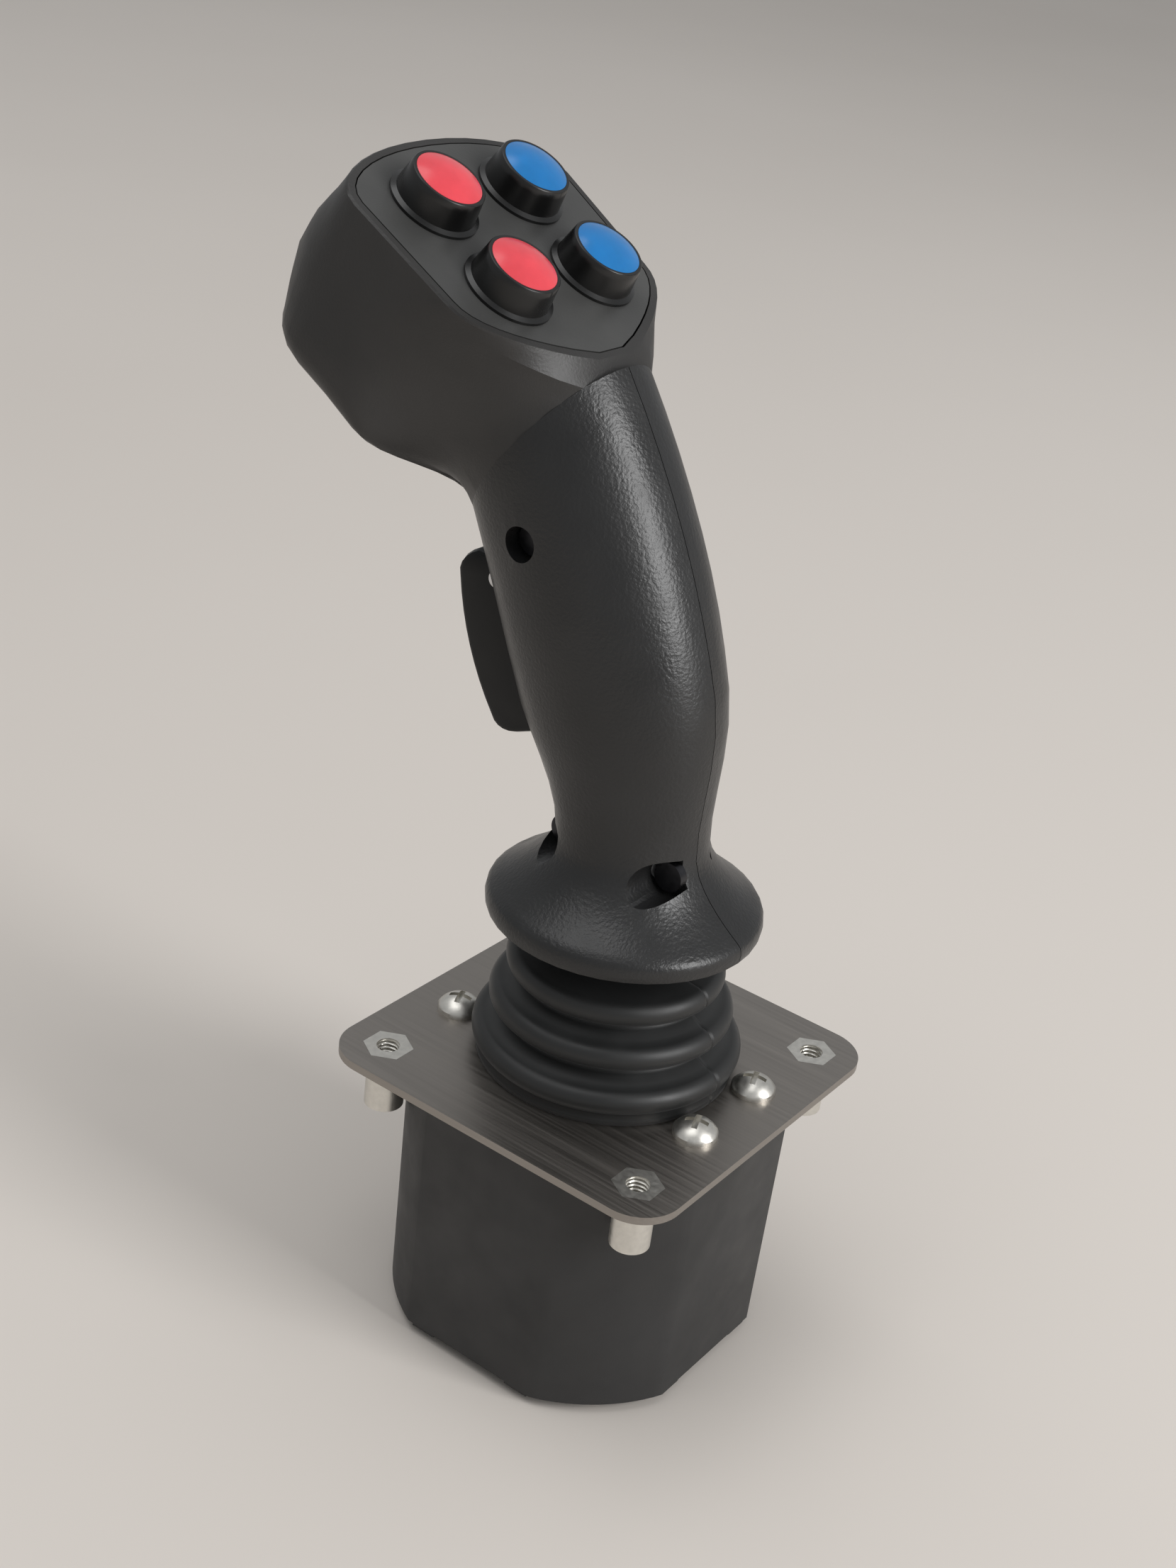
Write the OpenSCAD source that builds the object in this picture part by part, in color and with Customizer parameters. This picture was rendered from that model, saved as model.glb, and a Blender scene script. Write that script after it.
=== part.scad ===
// Two-axis industrial joystick: a moulded hand grip with four push buttons and a finger trigger,
// on a sprung gimbal that hangs under a square mounting plate, inside a moulded base housing.
// +Z is up, +Y points away from the operator, and the origin is the middle of the plate's top face.

/* [Mounting plate] */
// Side of the square plate
plate_w = 72; // [70:0.5:80]
// Plate thickness
plate_t = 1.5; // [1.2:0.1:2]
// Corner radius of the plate
plate_corner_r = 8; // [5:0.5:10]
// Distance between neighbouring threaded standoffs
standoff_pitch = 55; // [54:0.5:56]
// Length of a standoff, flush with the plate's top face
standoff_len = 12; // [8:0.5:16]
// Diameter of a standoff's round barrel
standoff_d = 7.1; // [6.6:0.1:7.4]
// Distance across the flats of a standoff's hexagon head
standoff_hex = 7.9; // [7.6:0.1:8.4]
// Minor diameter of the M5 thread in a standoff
standoff_thread_d = 4.2; // [4:0.1:4.6]
// Half spacing of the plate's screws across the stick
plate_screw_x = 9.2; // [8:0.2:10]
// Half spacing of the plate's screws along the stick
plate_screw_y = 26.4; // [26:0.1:26.6]
// Diameter of a plate screw's pan head
pan_head_d = 8; // [7:0.1:8.4]
// Height of a plate screw's pan head
pan_head_h = 3; // [2.4:0.1:3.4]

/* [Base housing] */
// Distance across the housing's flat sides
housing_flats = 63.4; // [62.6:0.2:64.4]
// Depth of the housing under the plate
housing_h = 51.3; // [49:0.5:56]
// How far each side leans in from top to bottom
housing_draft = 0.5; // [0.2:0.1:0.8]
// Wall of the housing
housing_wall = 2.5; // [2:0.1:3]
// Thickness of the deck under the plate
deck_t = 3; // [2.6:0.1:3.4]
// Thickness of the bottom cover
cover_t = 1.6; // [1.2:0.1:2]
// Distance of the cover's screws from the middle, along X and along Y
cover_screw_xy = 20.5; // [20.2:0.1:20.9]

/* [Gimbal] */
// Depth of the pivot point under the plate's top face
pivot_depth = 16; // [15.6:0.1:16.6]
// Diameter of the stick's steel shaft
shaft_d = 10; // [9.4:0.1:10.2]
// Diameter of the gimbal's pins and cross axle
pin_d = 5; // [4.6:0.1:5.2]
// Wall of a bearing bush
bush_wall = 1; // [0.8:0.05:1.1]
// Outer diameter of the gimbal ring
ring_d = 30; // [29.6:0.1:30.4]
// Radial wall of the gimbal ring
ring_wall = 3.5; // [3.2:0.1:3.8]
// Wire of the centring spring
spring_wire = 2; // [1.6:0.1:2.2]
// Turns of the centring spring
spring_turns = 4.5; // [4:0.5:5]

/* [Boot] */
// Outer radius of the lowest roll
boot_low_r = 24.3; // [23.8:0.1:24.8]
// How much smaller each roll is than the one below it
boot_step = 2.4; // [2:0.1:2.6]
// Height between two rolls
boot_pitch = 7.4; // [7:0.1:7.6]
// Radius of a roll's round edge
boot_roll_r = 2.3; // [2:0.1:2.5]
// Thickness of the rubber
boot_wall = 1.3; // [1:0.1:1.5]

/* [Grip] */
// Height of the hand rest's underside
rest_z = 29.4; // [28.8:0.1:31]
// Radius of the hand rest's rim
rest_r = 24.4; // [22:0.2:27]
// Height of the waist above the hand rest
waist_h = 15; // [14:0.2:16]
// Half depth of the grip at its waist
waist_a = 13.2; // [12.8:0.1:14]
// Half width of the grip at its waist
waist_b = 13.6; // [13.2:0.1:14.4]
// Height of the seam's middle above the hand rest
seam_h = 78.2; // [76:0.2:82]
// How far the seam's middle lies ahead of the shaft
seam_y = 24.3; // [23:0.1:26]
// Lean of the seam plane from the horizontal
seam_tilt = 54; // [52:0.5:56]
// Half depth of the palm swell
palm_a = 18.4; // [18:0.1:19.4]
// Half width of the palm swell
palm_b = 16.8; // [16.4:0.1:17.8]
// Wall of the grip's shells
grip_wall = 2.6; // [2.2:0.1:2.8]
// Gap of the parting line between the two shells
parting_gap = 0.16; // [0.1:0.02:0.3]

/* [Head] */
// Lean of the button face from the horizontal
face_tilt = 30.5; // [28:0.5:33]
// Half width of the head at its rim
head_w = 26.8; // [26:0.1:27.2]
// Reach of the rim ahead of the middle of the buttons
rim_front = 23.3; // [22.8:0.1:24]
// Reach of the rim behind the middle of the buttons
rim_rear = 26.3; // [25.6:0.1:26.6]
// How far the nose bulges beyond the rim
nose_bulge = 3.8; // [2.6:0.1:4]
// Depth of the cheeks below the rim
cheek_h = 24.3; // [23:0.1:25]
// Radius of the round between cheeks and chin
chin_r = 4.5; // [4:0.1:5]
// Width of the raised rim
rim_w = 1.7; // [1.5:0.1:2]
// Thickness of the button face plate
face_t = 2.5; // [2.2:0.1:3]
// Wall of the head's shell
head_wall = 2.4; // [2.2:0.1:2.8]

/* [Buttons] */
// Half spacing of the buttons from side to side
button_u = 10.93; // [10.4:0.1:11.4]
// Half spacing of the buttons from front to rear
button_v = 9.44; // [9.2:0.1:10]
// Diameter of a button's cap
cap_d = 11.4; // [10.8:0.1:11.6]
// Rise of a cap's dome
dome_h = 1.3; // [1:0.1:1.8]
// Height of a bezel above the face plate
bezel_h = 5.5; // [5:0.1:6]
// Wall of a bezel at its top edge
bezel_wall = 0.6; // [0.5:0.05:0.8]
// Travel of a button
button_travel = 1.5; // [1.2:0.1:1.6]
// Diameter of a button's plunger
plunger_d = 8; // [7:0.1:8.2]

/* [Trigger] */
// Full width of the trigger
trigger_w = 14; // [13:0.1:15]
// Height above the hand rest of the grip's section that carries the trigger's pivot
trigger_section_h = 65.6; // [65:0.1:66.4]
// Depth of the pivot behind the front of the grip
trigger_inset = 3.2; // [3:0.1:3.6]
// Length of the trigger's blade below its pivot
trigger_len = 25; // [24:0.2:26]
// How far the ends of the blade's front edge stand out from the pivot
trigger_reach = 9.6; // [9:0.1:10.4]
// Crown of the blade's front edge
trigger_crown = 1.5; // [1:0.1:2]
// Pull angle of the trigger
trigger_pull = 6; // [4:0.5:6.5]

/* [Fits] */
// Radial clearance of parts that turn or slide in each other
run_gap = 0.05; // [0.03:0.01:0.08]
// Gap between parts that are fixed to each other
seat_gap = 0.02; // [0.01:0.01:0.05]

/* [Hidden] */
$fn = 64;
BUTTONS = [["red_front", -1, 1, "#d8434b"], ["red_rear", -1, -1, "#d8434b"],
           ["blue_front", 1, 1, "#1f6fc0"], ["blue_rear", 1, -1, "#1f6fc0"]];

// Base: heights
plate_bottom = -plate_t;
deck_bottom = plate_bottom - deck_t;
housing_bottom = plate_bottom - housing_h;
cover_lift = 0.2;
cover_bottom = housing_bottom + cover_lift;
cover_top = cover_bottom + cover_t;
pivot_z = -pivot_depth;

// Base: plan of the housing, whose cut corners leave room for the standoffs
standoff_room = 0.55;
standoff_corner = standoff_pitch / 2 * sqrt(2);
housing_round_r = standoff_corner - standoff_d / 2 - standoff_room;
nib_h = 0.7;
nib_w = 5;
plate_hole_r = 19;
deck_hole_r = 14;
screw_r = 1.5;
screw_head_r = 2.6;
screw_head_h = 2.4;
boss_wall = 2;
plate_screw_r = pan_head_d / 4;
plate_screw_len = 10;

// Gimbal
pin_r = pin_d / 2;
bush_r = pin_r + run_gap + bush_wall;
ring_r = ring_d / 2;
ring_in_r = ring_r - ring_wall;
ring_h = 2 * bush_r + 3;
lug_gap = 1;
lug_t = 5;
lug_x = ring_r + lug_gap;
lug_w = 2 * bush_r + 5;
frame_t = 2;
frame_r = 23.8;
frame_hole_r = ring_r + 0.5;
frame_screw_xy = 15.5;
block_r = 8.5;
block_h = 14;
block_flat = 14;
shaft_r = shaft_d / 2;
spigot_r = 3;
spigot_top = pivot_z - block_h / 2;
holder_h = 6;
holder_r = 5;
holder_bottom = spigot_top - 13;
magnet_r = 3;
magnet_h = 2.5;

// Sensor board
board_gap = 3.5;
board_t = 1.6;
board_top = holder_bottom - board_gap;
board_r = 25.4;
board_screw_r = 1.25;
board_screw_at = 22;
pillar_r = 3;
sensor_w = 4;
sensor_h = 1;
socket_x = 17;
socket_y = 6;
socket_wall = 1.5;
socket_depth = 8;

// Centring spring, boot and what holds them
wire_r = spring_wire / 2;
seat_washer_t = 0.8;
spring_low_r = 16.2;
spring_top_r = 9;
collar_r = 11;
collar_t = 2.8;
hub_r = 7.5;
boot_z = [for (k = [0:2]) 4.3 + k * boot_pitch];
boot_r = [for (k = [0:2]) boot_low_r - boot_roll_r - k * boot_step];
boot_lip_t = 1.2;
neck_top = rest_z - 0.9;
neck_h = 4.5;
neck_r = hub_r + 1.8;
collar_z = neck_top - neck_h - 4 - collar_t;
spring_bottom = plate_bottom + seat_washer_t + wire_r;
spring_top = collar_z - wire_r;
clamp_ring_t = 1.2;

// Grip: the axis leans forward on a power curve, and the section planes tilt with it
waist_z = rest_z + waist_h;
seam_z = rest_z + seam_h;
rim_edge_h = 2.9;
rim_round = 0.3;
lean_from = waist_z - 4;
lean_power = 1.66;
tilt_power = 1.25;
rest_power = 1.7;
palm_from = waist_z + 1.5;
palm_full_a = waist_z + 25.5;
palm_full_b = waist_z + 39.5;
seam_a = palm_a + 0.6;
adapter_r = 9;
adapter_h = 20;
adapter_base = rest_z + 0.5;
adapter_top = adapter_base + adapter_h;
insert_r = 10;
insert_wall = 3;
insert_deep = 18;
insert_flange_r = 12.6;
insert_flange_t = 2;
collar_deep = 15;
rest_screw_y = 11;
rest_screw_z = rest_z + 13.1;
rest_bore_r = 3.5;
side_bore_r = 3;
side_screw_back = 12;
side_screw_fwd = 6.6;
grip_screw_r = 1.5;
grip_head_h = 2.4;
grip_head_r = 2.7;

function smooth(t) = let(c = min(1, max(0, t))) c * c * (3 - 2 * c);
function mix(a, b, t) = a + (b - a) * t;
function lean_y(z) = z <= lean_from ? 0 : seam_y * pow((z - lean_from) / (seam_z - lean_from), lean_power);
function lean_tilt(z) = z <= waist_z ? 0 : seam_tilt * pow((z - waist_z) / (seam_z - waist_z), tilt_power);
function rest_flare(z) =
    z >= waist_z ? 0 : (rest_r - waist_a) * pow((waist_z - z) / (waist_h - rim_edge_h), rest_power);
function rest_limit(z) =
    z > rest_z + rim_edge_h + 0.01 ? 1e3 : rest_r - rim_round * pow((z - rest_z) / (rim_edge_h / 2) - 1, 2);
function half_depth(z) = min(rest_limit(z),
    mix(waist_a, palm_a, smooth((z - palm_from) / (palm_full_a - palm_from)))
    + (seam_a - palm_a) * max(0, (z - palm_full_a) / (seam_z - palm_full_a)) + rest_flare(z));
function half_width(z) = min(rest_limit(z),
    mix(waist_b, palm_b, smooth((z - waist_z) / (palm_full_b - waist_z))) + rest_flare(z));

// Head frame: u runs to the operator's right, v up the slope of the button face, n out of the face
seam_v = -27;
seam_n = -24.1;
head_axes = [[1, 0, 0], [0, cos(face_tilt), -sin(face_tilt)], [0, sin(face_tilt), cos(face_tilt)]];
head_origin = [0, seam_y, seam_z] - head_axes * [0, seam_v, seam_n];

module at_head() translate(head_origin) rotate([face_tilt, 0, 0]) children();
module at_seam() translate([0, seam_y, seam_z]) rotate([-seam_tilt, 0, 0]) children();
module along_x() rotate([0, 90, 0]) children();
module along_y() rotate([-90, 0, 0]) children();
module at_corners(x, y) for (sx = [-1, 1], sy = [-1, 1]) translate([sx * x, sy * y, 0]) children();

// A closed skin through equal rings of points. A bent end is closed by strips from side to side.
module skin(rings, bent = false) {
    n = len(rings[0]);
    last = (len(rings) - 1) * n;
    sides = [for (k = [0:len(rings) - 2], i = [0:n - 1])
        let(a = k * n + i, b = k * n + (i + 1) % n) each [[a, a + n, b + n], [a, b + n, b]]];
    end = bent ? end_strips(n) : [[for (i = [0:n - 1]) i]];
    caps = concat(end, [for (f = end) [for (i = [len(f) - 1:-1:0]) last + f[i]]]);
    polyhedron([for (r = rings) each r], concat(caps, sides));
}

function end_strips(n) = let(m = (n - 1) / 2)
    concat([for (i = [0:m - 2]) [i, i + 1, n - 2 - i, n - 1 - i]], [[m - 1, m, m + 1]]);

// A round wire along a path that turns about an axis
module wire(path, axis, r, sides = 6) {
    count = len(path);
    rings = [for (k = [0:count - 1])
        let(t = path[min(count - 1, k + 1)] - path[max(0, k - 1)],
            side = cross(t, axis) / norm(cross(t, axis)),
            up = cross(t, side) / norm(t))
        [for (i = [0:sides - 1]) path[k] + r * (cos(i * 360 / sides) * side + sin(i * 360 / sides) * up)]];
    skin(rings);
}

// Points of a coil along +Z whose radius runs from r1 to r2, with closed ends
function coil(r1, r2, h, turns, steps) = [for (k = [0:turns * steps])
    let(s = k / (turns * steps), a = 360 * turns * s, rise = smooth(s * 1.1 - 0.05))
    [mix(r1, r2, s) * cos(a), mix(r1, r2, s) * sin(a), h * mix(s, rise, 0.5)]];

// A machine screw pointing down, with its head on z = 0
module screw(r, len, head_r, head_h) {
    translate([0, 0, -len]) cylinder(h = len, r = r);
    cylinder(h = head_h, r = head_r);
}

// A pan head with a crowned top
module pan_head(r, h) {
    crown = (r * r + h * h) / (2 * h) * 1.15;
    intersection() {
        cylinder(h = h, r = r);
        translate([0, 0, h - crown]) sphere(r = crown);
    }
}

// ---- Base ----

// The housing's outer or inner form: a round can with four leaning flats
module housing_form(inset, top, bottom) {
    lean = atan(housing_draft / housing_h);
    r_top = housing_round_r - inset;
    difference() {
        translate([0, 0, bottom])
            cylinder(h = top - bottom, r1 = r_top - housing_draft, r2 = r_top, $fn = 96);
        for (k = [0:3]) rotate(90 * k)
            translate([housing_flats / 2 - inset, -housing_flats, plate_bottom])
                rotate([0, lean, 0]) translate([0, 0, -2 * housing_h])
                    cube([housing_flats, 2 * housing_flats, 3 * housing_h]);
    }
}

module screw_boss(x, y, r, top, bottom) {
    at_corners(x, y) translate([0, 0, bottom]) cylinder(h = top - bottom, r = r + boss_wall);
}

module base_housing() {
    color("#2f3032") difference() {
        union() {
            difference() {
                housing_form(0, plate_bottom, housing_bottom);
                housing_form(housing_wall, deck_bottom, housing_bottom - 1);
            }
            intersection() {
                union() {
                    screw_boss(plate_screw_x, plate_screw_y, plate_screw_r, deck_bottom + 0.5,
                        plate_bottom - plate_screw_len - 1);
                    screw_boss(cover_screw_xy, cover_screw_xy, screw_r, deck_bottom + 0.5, cover_top);
                }
                housing_form(housing_wall / 2, plate_bottom, housing_bottom - 1);
            }
            rim_nibs();
        }
        translate([0, 0, deck_bottom - 1]) cylinder(h = deck_t + 2, r = deck_hole_r);
        at_corners(plate_screw_x, plate_screw_y) translate([0, 0, plate_bottom - plate_screw_len - 0.5])
            cylinder(h = plate_screw_len + 1, r = plate_screw_r + seat_gap);
        at_corners(cover_screw_xy, cover_screw_xy) translate([0, 0, cover_top - 1])
            cylinder(h = 9, r = screw_r + seat_gap);
        at_corners(frame_screw_xy, frame_screw_xy) translate([0, 0, deck_bottom - 1])
            cylinder(h = deck_t, r = screw_r + seat_gap);
    }
}

// Small nibs under the housing's rim, beside the edges of its flats
module rim_nibs() {
    nib_x = housing_flats / 2 - housing_draft - housing_wall * 0.7;
    nib_y = sqrt(pow(housing_round_r, 2) - pow(housing_flats / 2, 2)) - nib_w / 2 - 1;
    for (k = [0:3], s = [-1, 1]) rotate(90 * k)
        translate([nib_x, s * nib_y - nib_w / 2, housing_bottom - nib_h])
            cube([housing_wall * 0.6, nib_w, nib_h + 0.5]);
}

module bottom_cover() {
    color("#2a2b2d") {
        difference() {
            housing_form(housing_wall + housing_draft + 0.2, cover_top, cover_bottom);
            at_corners(cover_screw_xy, cover_screw_xy) translate([0, 0, cover_bottom - 1])
                cylinder(h = cover_t + 2, r = screw_r + 0.2);
            translate([0, 0, cover_bottom + cover_t / 2])
                cube([socket_x + 2 * socket_wall + 1, socket_y + 2 * socket_wall + 1, cover_t + 2], center = true);
        }
        board_pillars();
    }
}

module board_pillars() {
    for (k = [0:3]) rotate(90 * k) translate([board_screw_at, 0, cover_top]) difference() {
        cylinder(h = board_top - board_t - cover_top, r = pillar_r);
        translate([0, 0, 2]) cylinder(h = board_top - board_t - cover_top, r = board_screw_r + seat_gap);
    }
}

module cover_screws() {
    color("#c9c9c6") at_corners(cover_screw_xy, cover_screw_xy)
        translate([0, 0, cover_bottom]) mirror([0, 0, 1]) {
            translate([0, 0, -9]) cylinder(h = 9, r = screw_r);
            pan_head(screw_head_r, screw_head_h);
        }
}

module mounting_plate() {
    color("#8d8982") difference() {
        translate([0, 0, plate_bottom]) linear_extrude(plate_t) union() {
            square([plate_w - 2 * plate_corner_r, plate_w], center = true);
            square([plate_w, plate_w - 2 * plate_corner_r], center = true);
            at_corners(plate_w / 2 - plate_corner_r, plate_w / 2 - plate_corner_r) circle(r = plate_corner_r);
        }
        translate([0, 0, plate_bottom - 1]) cylinder(h = plate_t + 2, r = plate_hole_r);
        at_corners(standoff_pitch / 2, standoff_pitch / 2) translate([0, 0, plate_bottom - 1])
            cylinder(h = plate_t + 2, r = (standoff_hex / 2 + seat_gap) / cos(30), $fn = 6);
        at_corners(plate_screw_x, plate_screw_y) translate([0, 0, plate_bottom - 1])
            cylinder(h = plate_t + 2, r = plate_screw_r + 0.2);
    }
}

// Self-clinching standoffs: a hexagon head flush in the plate over a round threaded barrel
module clinch_standoffs() {
    color("#b9b7b2") at_corners(standoff_pitch / 2, standoff_pitch / 2) difference() {
        union() {
            translate([0, 0, plate_bottom]) cylinder(h = plate_t, r = standoff_hex / 2 / cos(30), $fn = 6);
            translate([0, 0, -standoff_len]) cylinder(h = standoff_len - plate_t, r = standoff_d / 2);
        }
        translate([0, 0, -standoff_len - 1]) cylinder(h = standoff_len + 2, r = standoff_thread_d / 2);
    }
}

module plate_screws() {
    color("#c2c0b8") at_corners(plate_screw_x, plate_screw_y) {
        translate([0, 0, -plate_screw_len]) cylinder(h = plate_screw_len, r = plate_screw_r);
        difference() {
            pan_head(pan_head_d / 2, pan_head_h);
            for (a = [20, 110]) rotate(a) translate([-pan_head_d * 0.26, -0.5, pan_head_h - 1.3])
                cube([pan_head_d * 0.52, 1, 2]);
        }
    }
}

// Rubber boot: three rolls, each smaller than the one below, between a lip and a neck
module boot() {
    color("#1d1f21") rotate_extrude($fn = 96) boot_profile();
}

module boot_profile() {
    lip_r = boot_low_r - 4.4;
    low = boot_z[0];
    difference() {
        boot_section(0);
        boot_section(boot_wall);
        square([hub_r + seat_gap, rest_z]);
    }
    translate([lip_r, 0]) square([boot_low_r - boot_roll_r - lip_r, boot_lip_t]);
    translate([hub_r + seat_gap, neck_top - neck_h]) square([neck_r - hub_r - seat_gap, neck_h]);
}

// Half of the space under the boot's skin, seen from the side and moved in by the skin's thickness
module boot_section(inset) {
    for (k = [0:2]) translate([boot_r[k], boot_z[k]]) circle(r = boot_roll_r - inset, $fn = 32);
    polygon([[0, inset > 0 ? -1 : 0], [boot_r[0] + 1.2 - inset, inset > 0 ? -1 : 0],
             [boot_r[0] + 1.2 - inset, boot_z[0]],
             for (k = [0:1]) each [[boot_r[k] - 1.2 - inset, boot_z[k] + boot_pitch * 0.5],
                                   [boot_r[k + 1] - 0.4 - inset, boot_z[k + 1]]],
             [boot_r[2] - 0.6 - inset, boot_z[2] + boot_roll_r - inset],
             [neck_r + 2.4 - inset, neck_top - neck_h + 1.4 - inset],
             [neck_r - inset, neck_top - neck_h + 1.6 - inset],
             [0, neck_top - neck_h + 1.6 - inset]]);
}

module boot_clamp_ring() {
    color("#4a4b4d") translate([0, 0, boot_lip_t]) difference() {
        cylinder(h = clamp_ring_t, r = boot_low_r - boot_roll_r - boot_wall);
        translate([0, 0, -1]) cylinder(h = clamp_ring_t + 2, r = plate_hole_r);
    }
}

module gimbal_frame() {
    color("#5b5e62") difference() {
        union() {
            translate([0, 0, deck_bottom - frame_t]) cylinder(h = frame_t, r = frame_r);
            for (s = [-1, 1]) frame_lug(s);
        }
        translate([0, 0, deck_bottom - frame_t - 1]) cylinder(h = frame_t + 2, r = frame_hole_r);
        at_corners(frame_screw_xy, frame_screw_xy) translate([0, 0, deck_bottom - frame_t - 1])
            cylinder(h = frame_t + 2, r = screw_r + 0.2);
        translate([0, 0, pivot_z]) along_x() translate([0, 0, -frame_r]) cylinder(h = 2 * frame_r, r = bush_r);
    }
}

module frame_lug(s) {
    translate([s * (lug_x + lug_t / 2), 0, 0]) {
        translate([-lug_t / 2, -lug_w / 2, pivot_z]) cube([lug_t, lug_w, deck_bottom - frame_t / 2 - pivot_z]);
        translate([-lug_t / 2, 0, pivot_z]) along_x() cylinder(h = lug_t, r = lug_w / 2);
    }
}

module frame_screws() {
    color("#c9c9c6") at_corners(frame_screw_xy, frame_screw_xy)
        translate([0, 0, deck_bottom - frame_t]) mirror([0, 0, 1]) {
            translate([0, 0, -frame_t - 1.8]) cylinder(h = frame_t + 1.8, r = screw_r);
            cylinder(h = 1.8, r = screw_head_r);
        }
}

// A plain bearing bush along +Z
module bush(len) {
    difference() {
        cylinder(h = len, r = bush_r);
        translate([0, 0, -1]) cylinder(h = len + 2, r = pin_r + run_gap);
    }
}

module frame_bushes() {
    color("#b08d57") for (s = [0, 180]) rotate(s) translate([lug_x, 0, pivot_z]) along_x() bush(lug_t);
}

module spring_seat() {
    color("#a9abad") translate([0, 0, plate_bottom]) difference() {
        cylinder(h = seat_washer_t, r = spring_low_r + wire_r + 0.8);
        translate([0, 0, -1]) cylinder(h = seat_washer_t + 2, r = deck_hole_r + 0.2);
    }
}

module sensor_board() {
    color("#1f5a3a") translate([0, 0, board_top - board_t]) difference() {
        cylinder(h = board_t, r = board_r);
        for (k = [0:3]) rotate(90 * k) translate([board_screw_at, 0, -1])
            cylinder(h = board_t + 2, r = board_screw_r + 0.1);
    }
}

module hall_sensors() {
    color("#18181a") for (x = [-1.5, 0, 1.5] * sensor_w)
        translate([x - sensor_w / 2, -sensor_w / 2, board_top]) cube([sensor_w * 0.9, sensor_w, sensor_h]);
}

module board_screws() {
    color("#c9c9c6") for (k = [0:3]) rotate(90 * k) translate([board_screw_at, 0, board_top])
        screw(board_screw_r, board_t + 5, 2.2, 1.6);
}

// Boxed connector under the board, reached through the bottom cover
module connector_header() {
    top = board_top - board_t;
    bottom = cover_bottom;
    color("#d8d2c0") difference() {
        translate([-socket_x / 2 - socket_wall, -socket_y / 2 - socket_wall, bottom])
            cube([socket_x + 2 * socket_wall, socket_y + 2 * socket_wall, top - bottom]);
        translate([-socket_x / 2, -socket_y / 2, bottom - 1]) cube([socket_x, socket_y, socket_depth + 1]);
    }
}

// ---- Gimbal ring ----

module gimbal_ring() {
    color("#9aa0a6") translate([0, 0, pivot_z]) difference() {
        translate([0, 0, -ring_h / 2]) cylinder(h = ring_h, r = ring_r);
        translate([0, 0, -ring_h]) cylinder(h = 2 * ring_h, r = ring_in_r);
        along_x() translate([0, 0, -ring_d]) cylinder(h = 2 * ring_d, r = pin_r + seat_gap);
        along_y() translate([0, 0, -ring_d]) cylinder(h = 2 * ring_d, r = bush_r + seat_gap);
    }
}

module ring_pins() {
    color("#c8ccd0") for (s = [0, 180]) rotate(s)
        translate([ring_in_r + 0.2, 0, pivot_z]) along_x() cylinder(h = lug_x + lug_t - ring_in_r, r = pin_r);
}

module ring_bushes() {
    color("#b08d57") for (s = [0, 180]) rotate(s)
        translate([0, ring_in_r + 0.1, pivot_z]) along_y() bush(ring_wall - 0.3);
}

// ---- Stick ----

module pivot_block() {
    color("#7c8188") translate([0, 0, pivot_z]) difference() {
        intersection() {
            translate([0, 0, -block_h / 2]) cylinder(h = block_h, r = block_r);
            cube([block_flat, block_flat, block_h + 2], center = true);
        }
        translate([0, 0, -block_h]) cylinder(h = 2 * block_h, r = shaft_r + seat_gap);
        along_y() translate([0, 0, -block_flat]) cylinder(h = 2 * block_flat, r = pin_r + seat_gap);
    }
}

module cross_axle() {
    len = 2 * ring_r - 0.4;
    color("#c8ccd0") translate([0, 0, pivot_z]) along_y() translate([0, 0, -len / 2]) cylinder(h = len, r = pin_r);
}

module stick_shaft() {
    color("#b4b8bc") difference() {
        union() {
            translate([0, 0, spigot_top]) cylinder(h = adapter_top - spigot_top, r = shaft_r);
            translate([0, 0, holder_bottom + magnet_h + 0.5])
                cylinder(h = spigot_top - holder_bottom - magnet_h, r = spigot_r);
        }
        translate([0, 0, pivot_z]) along_y() translate([0, 0, -ring_r]) cylinder(h = ring_d, r = pin_r + seat_gap);
        translate([0, 0, rest_z - 6]) cylinder(h = adapter_h + 20, r = shaft_r * 0.55);
    }
}

module spring_collar() {
    color("#8f9296") difference() {
        union() {
            translate([0, 0, collar_z]) cylinder(h = collar_t, r = collar_r);
            translate([0, 0, collar_z]) cylinder(h = rest_z - collar_z, r = hub_r);
        }
        translate([0, 0, collar_z - 1]) cylinder(h = rest_z - collar_z + 2, r = shaft_r + seat_gap);
    }
}

module centering_spring() {
    color("#aeb2b6") translate([0, 0, spring_bottom])
        wire(coil(spring_low_r, spring_top_r, spring_top - spring_bottom, spring_turns, 18), [0, 0, 1], wire_r);
}

module magnet_holder() {
    color("#3a3c40") translate([0, 0, holder_bottom]) difference() {
        cylinder(h = holder_h, r = holder_r);
        translate([0, 0, -1]) cylinder(h = magnet_h + 1 + seat_gap, r = magnet_r + seat_gap);
        translate([0, 0, magnet_h + 0.5]) cylinder(h = holder_h, r = spigot_r + seat_gap);
    }
}

module sensor_magnet() {
    color("#c0c2c4") translate([0, 0, holder_bottom]) cylinder(h = magnet_h, r = magnet_r);
}

// ---- Grip ----

module grip_adapter() {
    color("#a3a7ab") translate([0, 0, adapter_base]) difference() {
        cylinder(h = adapter_h, r = adapter_r);
        translate([0, 0, -1]) cylinder(h = adapter_h + 2, r = shaft_r + seat_gap);
        adapter_screw_holes();
    }
}

module adapter_screw_holes() {
    for (z = [0.25, 0.8] * adapter_h) translate([0, 0, z]) along_x()
        cylinder(h = adapter_r + 1, r = screw_r + seat_gap);
}

module adapter_screws() {
    color("#4c4f54") for (z = [0.25, 0.8] * adapter_h) translate([shaft_r + 0.1, 0, adapter_base + z]) along_x()
        cylinder(h = adapter_r - shaft_r - 0.4, r = screw_r);
}

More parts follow.
